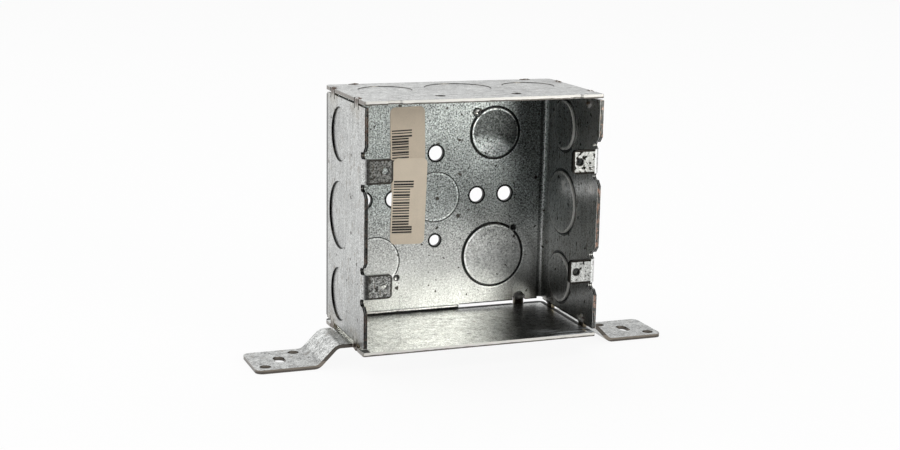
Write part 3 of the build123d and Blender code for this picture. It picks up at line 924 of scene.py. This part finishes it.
def plate_tone(tree, place, x, tone, mottle, brightness, on_inside):
    """Mottle a plate and paint its light: the brightness falls from left to right, most of all inside the
    box.
    """
    tone = maths(tree, "ADD", tone, swing(tree, cloudy(tree, place, MOTTLE_SCALE, RICH), mottle))
    tone = maths(tree, "MULTIPLY", maths(tree, "MAXIMUM", tone, DARKEST), brightness)
    left_gain = maths(tree, "MULTIPLY_ADD", on_inside, INSIDE_GAIN, LEFT_GAIN)
    return maths(tree, "MULTIPLY", tone, span(tree, x, *PLATE_RUN, left_gain, RIGHT_GAIN))


print("plates fall from", LEFT_GAIN, "to", RIGHT_GAIN, "of their brightness")

# %% [markdown]
# ## The plates: their edges
# The front edges are fresh cuts with two bands: the blade burnishes the upper part to a matt white line,
# and the lower part breaks off dark, deepened into painted shade under the edge. The other cut edges are
# dull and brown, and the arm edges and the lower part of the feet's edges are dark with painted shade.
# A bevel with a second material could show the bands, but their border wanders, so a noise on the
# height draws it.

# %% Edges of a plate
ARM_HALF = 12.5 * MM
ARM_FROM = (wall + SKIN, wall + 0.2 * MM)
ARM_EDGE = (ARM_HALF - 0.06 * MM, ARM_HALF - 0.02 * MM)
FRONT_EDGE = (front + SKIN, front + 0.25 * MM)
RIM_NOTCH, RIM_NOTCH_HALF = 1.35 * MM, 3.2 * MM
CUT_LOW, CUT_SOFT = 0.12 * MM, 0.03 * MM
FOOT_EDGE, FOOT_BREAK = 0.08 * MM, (0.8 * MM, 1.0 * MM)


def plate_cut(tree, z, side, level):
    """Cut edges of the flat plate, from above its lower face to below its upper one."""
    return both(tree, window(tree, z, level + CUT_LOW, level + SHEET - HAIR, CUT_SOFT),
                outside_of(tree, at_level(tree, z, level + SHEET - TOP_LIFT)),
                under(tree, side, wall + SKIN))


def front_cut(tree, y, side, cut):
    """Front edge of a plate, with the two notches in it."""
    from_weld = maths(tree, "ABSOLUTE", maths(tree, "SUBTRACT", side, weld_x))
    in_notch = both(tree, under(tree, y, front + RIM_NOTCH), cut, under(tree, from_weld, RIM_NOTCH_HALF))
    return either(tree, span(tree, y, *FRONT_EDGE, 1.0, 0.0), in_notch)


def foot_cuts(tree, y, z, side, on_feet, broken):
    """Cut edges of the arms and feet, and the dark lower part of them, a broken band with painted shade.
    """
    along_arm = both(tree, span(tree, side, *ARM_FROM), span(tree, maths(tree, "ABSOLUTE", y), *ARM_EDGE))
    round_foot = both(tree, on_feet, window(tree, z, FOOT_EDGE, SHEET - FOOT_EDGE, CUT_SOFT))
    cuts = either(tree, round_foot, along_arm)
    low = either(tree, outside_of(tree, on_feet), span(tree, broken, *FOOT_BREAK, 1.0, 0.0))
    return cuts, both(tree, cuts, low)


print("arms:", round(2 * ARM_HALF / MM, 1), "mm wide")

# %% Coats of the edges
EDGE_WHITE = (0.72, 0.71, 0.68, 1)
EDGE_DULL = (0.20, 0.175, 0.15, 1)
BROKEN_AND_SHADE_DARK = (0.10, 0.09, 0.08, 1)
BREAK_SCALE, BREAK_WANDER = 300, 0.5 * MM
BURNISH_FROM = (0.45 * MM, 0.65 * MM)


def edge_coats(tree, place, y, z, side, level, on_feet, cut_edge):
    """Coats of the feet and of the front edge: dull, broken dark with painted shade, then the burnished
    white line.
    """
    broken = maths(tree, "ADD", z, swing(tree, cloudy(tree, place, BREAK_SCALE), BREAK_WANDER))
    foot_cut, foot_low_shaded = foot_cuts(tree, y, z, side, on_feet, broken)
    burnished = span(tree, broken, level + BURNISH_FROM[0], level + BURNISH_FROM[1])
    return ((foot_cut, 1.0, EDGE_DULL), (foot_low_shaded, 1.0, BROKEN_AND_SHADE_DARK), (cut_edge, 1.0, BROKEN_AND_SHADE_DARK),
            (both(tree, cut_edge, burnished), 1.0, EDGE_WHITE))


print("the white line starts", round(BURNISH_FROM[0] / MM, 2), "mm above the lower face")

# %% Plate finishes
SLOPES_FROM = (wall + 5 * MM, wall + 7 * MM)
INSIDE_FACE = (SHEET - 0.06 * MM, SHEET - 0.02 * MM)
FEET_TONE, SLOPE_TONE, SEAM_TONE, STEP_TONE = 0.80, 1.12, 0.15, 0.35
PLATE_BURN, PLATE_BURN_RAGGED = 3.6 * MM, 4 * MM
SHEEN_PALE = (0.80, 0.86, 0.92, 1)
SEAM_ROUGHER, EDGE_MATT = 0.5, -0.8
BLOT_SCALE, BLOT_FROM = 420, (0.62, 0.69)


def plate_zinc(name, level, brightness, grain_gain, streak_gain, mottle, stretch):
    """Finish of a plate whose flat sheet lies between a level and a sheet thickness above it."""
    material, tree, place, x, y, z = start_zinc(name)
    side = maths(tree, "ABSOLUTE", x)
    on_feet = under(tree, z, 2 * SHEET)
    on_slopes = both(tree, span(tree, side, *SLOPES_FROM), outside_of(tree, on_feet))
    on_inside = both(tree, under(tree, z, middle), under(tree, side, wall - 2 * SKIN),
                     span(tree, z, level + INSIDE_FACE[0], level + INSIDE_FACE[1]))
    in_seam = both(tree, on_inside, seam_shade(tree, x, y))
    sheen = both(tree, on_inside, painted_sheen_streaks(tree, place, x, y))

    tone, height = zinc_tone(tree, place, grain_gain, streak_gain, stretch)
    tone = plate_tone(tree, place, x, tone, mottle, brightness, on_inside)
    # Painted shade on the feet, in the seams and on the disc steps, painted light on the slopes of the
    # arms
    tone = shaded(tree, tone, (on_feet, FEET_TONE), (on_slopes, SLOPE_TONE), (in_seam, SEAM_TONE),
                  (disc_step_shade(tree, y, z, side), STEP_TONE))

    cut = plate_cut(tree, z, side, level)
    cut_edge = front_cut(tree, y, side, cut)
    blots = span(tree, cloudy(tree, place, BLOT_SCALE, RICH), *BLOT_FROM)
    burns = weld_ring(tree, place, x, y, z, PLATE_BURN, PLATE_BURN_RAGGED)
    colour = layered(
        tree, blend(tree, 1.0, ZINC, tone, "MULTIPLY"),
        (blots, 0.6, FLECK_BROWN), (ragged_specks(tree, place, "X", "Y"), 0.8, PIN_DARK),
        (cut, 0.85, EDGE_DULL), (burns, 0.85, SCORCH_AND_SHADE_BROWN),
        *edge_coats(tree, place, y, z, side, level, on_feet, cut_edge), (sheen, 0.8, SHEEN_PALE))
    matt = either(tree, cut_edge, in_seam, sheen)
    close_zinc(tree, colour, height, maths(tree, "MULTIPLY_ADD", in_seam, SEAM_ROUGHER, SATIN),
               maths(tree, "MULTIPLY_ADD", matt, EDGE_MATT, 1.0))
    return material


TOP_STREAKS, BRACKET_STREAKS = (40, 1500, 1500), (400, 700, 700)
# Both plates are the same zinc: the top plate is painted darker and the bracket lighter, as painted light
top_zinc = plate_zinc("top_zinc", roof - SHEET, brightness=0.83, grain_gain=2.0, streak_gain=1.5,
                      mottle=1.7, stretch=TOP_STREAKS)
dress("top_end_plate", top_zinc)
bracket_zinc = plate_zinc("bracket_zinc", ground_plate, brightness=1.03, grain_gain=2.6, streak_gain=0.7,
                          mottle=1.4, stretch=BRACKET_STREAKS)
dress("bottom_bracket_plate", bracket_zinc)

# %% [markdown]
# ## Paper labels
# Each label is a beige sticker with a ladder of bars along its left side. The bars could be cut as
# many strips, but ink has no thickness, so they are painted by a formula: the run down the label is cut
# into steps, and a random number for each step says how thick its bar is. A mapping node brings the
# pattern to the label's own middle and turn.

# %% Ladder of bars
BAR_STEP = 1.16 * MM
THINNEST, THICKER = 0.36, 0.40
HAIR_BAR, HAIR_SOFT = (0.84, 0.93), 0.01
HAIR_OVER, HAIR_INK = 0.45, 0.7


def bar_ladder(tree, run, seed):
    """One bar in each step, with a faint hair line after some of them."""
    steps = maths(tree, "DIVIDE", run, BAR_STEP)
    number = maths(tree, "ADD", maths(tree, "FLOOR", steps), seed)
    within = maths(tree, "FRACT", steps)
    lots = node(tree, "TexWhiteNoise", {"W": number}, noise_dimensions="1D")
    thick = maths(tree, "MULTIPLY_ADD", lots.outputs["Value"], THICKER, THINNEST)
    other_lot = axis_of(tree, lots.outputs["Color"], "Z")
    hair_bar = both(tree, window(tree, within, *HAIR_BAR, HAIR_SOFT),
                    maths(tree, "GREATER_THAN", other_lot, HAIR_OVER), HAIR_INK)
    return either(tree, under(tree, within, thick), hair_bar)


print("a bar every", round(BAR_STEP / MM, 2), "mm")

# %% Label finish
LABEL_WIDTH, LABEL_HEIGHT = 15.5 * MM, 37.4 * MM
BARS_FROM_TOP, BARS_LENGTH = 9.7 * MM, 23.1 * MM
BAR_MARGIN, BAR_REACH = 0.6 * MM, 7.5 * MM
LONG_BAR_EXTRA, LONG_BAR_ZONE = 1.5 * MM, 3.3 * MM
INK = (0.022, 0.018, 0.016, 1)
FIBRE_SCALE, FIBRE_GAIN = 2600, 0.22
BLOTCH_SCALE, BLOTCH_GAIN = 160, 0.16
PAPER_ROUGHNESS, PAPER_BUMP, PAPER_BUMP_DEPTH = 0.62, 0.3, 0.02 * MM


def label_ink(tree, place, centre, turn, seed):
    """Mask of the printed bars, in the label's own directions."""
    sockets = {"Vector": place, "Location": (centre.x, 0, centre.z),
               "Rotation": (0, -math.radians(turn), 0)}
    own = node(tree, "Mapping", sockets, vector_type="TEXTURE").outputs[0]
    across = maths(tree, "ADD", axis_of(tree, own, "X"), LABEL_WIDTH / 2)
    down = maths(tree, "SUBTRACT", LABEL_HEIGHT / 2, axis_of(tree, own, "Z"))
    run = maths(tree, "SUBTRACT", down, BARS_FROM_TOP)
    ladder = window(tree, run, 0.0, BARS_LENGTH, SOFT)
    inner_run = window(tree, run, LONG_BAR_ZONE, BARS_LENGTH - LONG_BAR_ZONE, SOFT)
    longest = BAR_MARGIN + BAR_REACH + LONG_BAR_EXTRA
    reach = maths(tree, "MULTIPLY_ADD", inner_run, -LONG_BAR_EXTRA, longest)
    inside = both(tree, maths(tree, "GREATER_THAN", across, BAR_MARGIN), under(tree, across, reach))
    return both(tree, bar_ladder(tree, run, seed), ladder, inside)


def label_paper(name, turn, paper_colour, seed):
    low, high = (Vector(corner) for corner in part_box(name))
    material, tree = new_material(name + "_paper")
    place = node(tree, "TexCoord").outputs["Object"]
    fibre = cloudy(tree, place, FIBRE_SCALE, RICH)
    blotch = cloudy(tree, place, BLOTCH_SCALE)
    tone = maths(tree, "ADD", swing(tree, fibre, FIBRE_GAIN), swing(tree, blotch, BLOTCH_GAIN))
    paper = blend(tree, 1.0, paper_colour, maths(tree, "ADD", tone, 1.0), "MULTIPLY")
    ink = label_ink(tree, place, (low + high) / 2, turn, seed)
    close_material(tree, {"Base Color": blend(tree, ink, paper, INK), "Roughness": PAPER_ROUGHNESS,
                          "Normal": bumps(tree, fibre, PAPER_BUMP, PAPER_BUMP_DEPTH)})
    dress(name, material)


# The upper label's paper is painted darker than the lower one, as painted shade under the top plate
SHADED_UPPER_BEIGE, LOWER_BEIGE = (0.62, 0.53, 0.425, 1), (0.72, 0.625, 0.51, 1)
label_paper("upper_label", turn=1.4, paper_colour=SHADED_UPPER_BEIGE, seed=11.0)
label_paper("lower_label", turn=-1.8, paper_colour=LOWER_BEIGE, seed=57.0)

# %% [markdown]
# ## Weld metal
# Each tongue of the wrapper is fused to its plate: a burnt nugget fills the notch, and a splash freezes on
# the inside of the wall. No two are alike. They could be sculpted by hand, but a ball that noise pushes in
# and out, then stretched along its seam, gives twelve of each from one function, and a number for each
# keeps them different and the same in every run.


# %% A piece from a bmesh
def add_piece(name, shape, material):
    bmesh.ops.recalc_face_normals(shape, faces=shape.faces)
    for face in shape.faces:
        face.smooth = True
    piece = mesh_object(name, shape, material)
    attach(piece, "root")
    print(name, "has", len(piece.data.polygons), "faces")
    return piece


LOT_STRIDES = (7.3, 3.1, 5.7)  # each number gives its ball a place of its own in the noise
BROAD_LUMPS, FINE_LUMPS, FINE_SHARE = 1.6, 4.3, 0.5


def lumpy_ball(shape, centre, half_sizes, turn, number, roughness):
    """Ball that noise pushes in and out, stretched, turned about Z and put in place."""
    ball = bmesh.ops.create_icosphere(shape, subdivisions=4, radius=1.0)["verts"]
    lot = Vector([number * stride for stride in LOT_STRIDES])
    for vert in ball:
        push = noise.noise(BROAD_LUMPS * vert.co + lot)
        push += FINE_SHARE * noise.noise(FINE_LUMPS * vert.co + lot)
        vert.co *= 1.0 + roughness * push
    bmesh.ops.scale(shape, verts=ball, vec=half_sizes)
    bmesh.ops.rotate(shape, verts=ball, matrix=Matrix.Rotation(turn, 3, "Z"))
    bmesh.ops.translate(shape, verts=ball, vec=centre)


print("pieces before the welds:", len(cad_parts))

# %% Burnt weld finish
WELD_GREY = (0.55, 0.54, 0.53, 1)
WELD_GLINT = (0.74, 0.72, 0.68, 1)
CHAR_SCALE, CHAR_SOFT = 500, 0.09
GLINT_SPECK_SCALE, GLINT_SPECK_FROM = 900, (0.58, 0.66)
WELD_BUMP_SCALE, WELD_BUMP, WELD_BUMP_DEPTH = 1800, 0.4, 0.08 * MM


def weld_metal(name, burnt_up_to, roughness):
    """Frozen weld metal: burnt brown where a noise is low, bare grey above that, with bright specks that
    are painted glints.
    """
    material, tree = new_material(name)
    place = node(tree, "TexCoord").outputs["Object"]
    bare = span(tree, cloudy(tree, place, CHAR_SCALE, RICH),
                burnt_up_to - CHAR_SOFT, burnt_up_to + CHAR_SOFT)
    bright = both(tree, bare, span(tree, cloudy(tree, place, GLINT_SPECK_SCALE), *GLINT_SPECK_FROM))
    colour = blend(tree, bright, blend(tree, bare, SCORCH_AND_SHADE_BROWN, WELD_GREY), WELD_GLINT)
    rough = cloudy(tree, place, WELD_BUMP_SCALE, RICH)
    close_material(tree, {"Base Color": colour, "Metallic": 1.0, "Roughness": roughness,
                          "Normal": bumps(tree, rough, WELD_BUMP, WELD_BUMP_DEPTH)})
    return material


weld_burnt = weld_metal("weld_burnt", burnt_up_to=0.58, roughness=0.22)
weld_bare = weld_metal("weld_bare", burnt_up_to=0.43, roughness=0.40)

# %% Nuggets and splashes
TOP_NUGGET = Vector((2.9, 0.85, 0.6)) * MM
BOTTOM_NUGGET = Vector((1.9, 0.8, 0.5)) * MM
SPLASH = Vector((2.9, 1.4, 2.0)) * MM
NUGGET_SINK = 0.25 * MM
SPLASH_FROM_PLATE = 3.4 * MM
NUGGET_LUMPS, SPLASH_LUMPS = 0.35, 0.22
SIZE_SPREAD = 0.25
SPLASH_NUMBERS = 40
quarter = math.pi / 2
seams = [(Vector((sign * weld_x, back, 0)), Vector((0, -1, 0)), 0.0) for sign in (-1, 1)]
seams += [(Vector((sign * wall, way * weld_y, 0)), Vector((-sign, 0, 0)), quarter)
          for sign in (-1, 1) for way in (-1, 1)]
nuggets, splashes = bmesh.new(), bmesh.new()
number = 1
for edge, inwards, turn in seams:
    for plate, into, nugget in ((roof, -1, TOP_NUGGET), (ground_plate, 1, BOTTOM_NUGGET)):
        size = 1.0 + SIZE_SPREAD * noise.noise(Vector((number, 0.5, 0.0)))
        on_notch = edge + inwards * SHEET / 2 + Vector((0, 0, plate + into * NUGGET_SINK))
        lumpy_ball(nuggets, on_notch, nugget * size, turn, number, NUGGET_LUMPS)
        on_wall = edge + inwards * SHEET + Vector((0, 0, plate + into * (SHEET + SPLASH_FROM_PLATE)))
        lumpy_ball(splashes, on_wall, SPLASH * size, turn, number + SPLASH_NUMBERS, SPLASH_LUMPS)
        number += 1
add_piece("weld_nuggets", nuggets, weld_burnt)
add_piece("weld_splashes", splashes, weld_bare)

# %% [markdown]
# ## Screw threads
# The four tabs are tapped for the device screws, and a thread is a ridge that climbs as it goes round.
# A screw modifier could make it, but a spin with a small step along its axis is the same move in one
# operator: a three-cornered profile goes round the hole and forward by one pitch for each turn.

# %% Threads in the device holes
HOLE_RADIUS = 1.45 * MM
TAB_FRONT = 1.5 * MM
THREAD_PITCH = 0.794 * MM
THREAD_DEPTH = 0.24 * MM
THREAD_HALF = 0.3 * MM
THREAD_ROOT = 0.05 * MM
STEPS_PER_TURN = 32
JOIN = 0.001 * MM
turns = (SHEET - 2 * THREAD_HALF) / THREAD_PITCH
profile_corners = ((HOLE_RADIUS + THREAD_ROOT, -THREAD_HALF), (HOLE_RADIUS - THREAD_DEPTH, 0.0),
                   (HOLE_RADIUS + THREAD_ROOT, THREAD_HALF))
threads = bmesh.new()
for sign, way in ((-1, -1), (-1, 1), (1, -1), (1, 1)):
    hole = Vector((sign * DEVICE_SPAN / 2, front + TAB_FRONT + THREAD_HALF,
                   middle + way * DEVICE_PITCH / 2))
    corners = [threads.verts.new(hole + Vector((out, along, 0))) for out, along in profile_corners]
    bmesh.ops.spin(threads, geom=[threads.faces.new(corners)], cent=hole, axis=(0, 1, 0),
                   dvec=(0, THREAD_PITCH / STEPS_PER_TURN, 0), angle=turns * 2 * math.pi,
                   steps=round(turns * STEPS_PER_TURN))
bmesh.ops.remove_doubles(threads, verts=threads.verts, dist=JOIN)
print("turns of thread in each hole:", round(turns, 2))

# %% Thread finish
THREAD_GRAIN = 0.8
LEFT_THREADS, RIGHT_THREADS = 1.9, 0.2
THREAD_SATIN = 0.3
thread_zinc, tree, place, x, y, z = start_zinc("thread_zinc")
# Painted light: the threads of the left tabs are painted brighter and those of the right tabs darker
lit = span(tree, x, -MM, MM, LEFT_THREADS, RIGHT_THREADS)
grain = swing(tree, cloudy(tree, place, GRAIN_SCALE), THREAD_GRAIN)
tone = maths(tree, "MULTIPLY", maths(tree, "ADD", grain, 1.0), lit)
close_material(tree, {"Base Color": blend(tree, 1.0, ZINC, tone, "MULTIPLY"), "Metallic": 1.0,
                      "Roughness": THREAD_SATIN})
ridge = add_piece("device_threads", threads, thread_zinc)
depths = [vert.co.y / MM for vert in ridge.data.vertices]
print("threads run from", round(min(depths), 2), "to", round(max(depths), 2), "mm")

# %% [markdown]
# ## The hanging edge in the back seam
# Along the left part of the bottom seam the lower edge of the back wall hangs down and nearly shuts the
# gap, so the eye sees a dark line there and daylight further right. A plain strip would look like tape, so
# a grid is bent by noise along its run and then given its thickness. It wears the zinc of the wall, and a
# dark strip of painted shade behind it closes what is left of the gap.

# %% A wavy strip
LIP_LEFT, LIP_RIGHT = -46.5 * MM, 9.5 * MM
LIP_SEGMENTS = 60
RIPPLE, RIPPLE_RUN = 0.12 * MM, 3 * MM


def wavy_strip(low, high, depth, thickness):
    """Upright strip along the back seam, wavy along its run, with its front at a depth."""
    strip = bmesh.new()
    half_way = (low + high) / 2
    bmesh.ops.create_grid(strip, x_segments=LIP_SEGMENTS, y_segments=2, size=0.5)
    bmesh.ops.rotate(strip, verts=strip.verts, matrix=Matrix.Rotation(quarter, 3, "X"))
    bmesh.ops.scale(strip, verts=strip.verts, vec=(LIP_RIGHT - LIP_LEFT, 1.0, high - low))
    bmesh.ops.translate(strip, verts=strip.verts, vec=((LIP_LEFT + LIP_RIGHT) / 2, depth, half_way))
    for vert in strip.verts:
        wave = noise.noise(Vector((vert.co.x / RIPPLE_RUN, low / MM, 0)))
        vert.co.z += RIPPLE * wave * (vert.co.z < half_way)
    bmesh.ops.recalc_face_normals(strip, faces=strip.faces)
    backwards = strip.faces[:][0].normal.y > 0
    bmesh.ops.solidify(strip, geom=strip.faces, thickness=thickness if backwards else -thickness)
    return strip


print("hanging edge:", round((LIP_RIGHT - LIP_LEFT) / MM, 1), "mm long")

# %% Hanging edge and painted shade strip
LIP_PROUD = 0.02 * MM
LIP_FROM, LIP_TO, LIP_THICK = plate_inside + 0.5 * MM, wall_edge + 0.1 * MM, 0.5 * MM
STRIP_FROM, STRIP_TO, STRIP_THICK = plate_inside + 0.05 * MM, plate_inside + 1.2 * MM, 0.4 * MM
SEAM_SHADE_BLACK = (0.03, 0.03, 0.03, 1)
SHADE_NOISE_SCALE, SHADE_NOISE_TO = 700, (0.45, 0.65)
STRIP_ROUGHNESS = 0.45
lip = wavy_strip(LIP_FROM, LIP_TO, inner_back - LIP_PROUD, LIP_THICK)
add_piece("back_seam_edge", lip, wrapper_zinc)

seam_shade_dark, tree = new_material("seam_shade_dark")
place = node(tree, "TexCoord").outputs["Object"]
shade_mix = span(tree, cloudy(tree, place, SHADE_NOISE_SCALE, RICH), *SHADE_NOISE_TO)
close_material(tree, {"Base Color": blend(tree, shade_mix, SEAM_SHADE_BLACK, SCORCH_AND_SHADE_BROWN), "Metallic": 1.0,
                      "Roughness": STRIP_ROUGHNESS})
# Painted shade: a dark strip, black and brown, behind the hanging edge
seam_shade_strip = wavy_strip(STRIP_FROM, STRIP_TO, back - SHEET / 2, STRIP_THICK)
add_piece("back_seam_shade_strip", seam_shade_strip, seam_shade_dark)
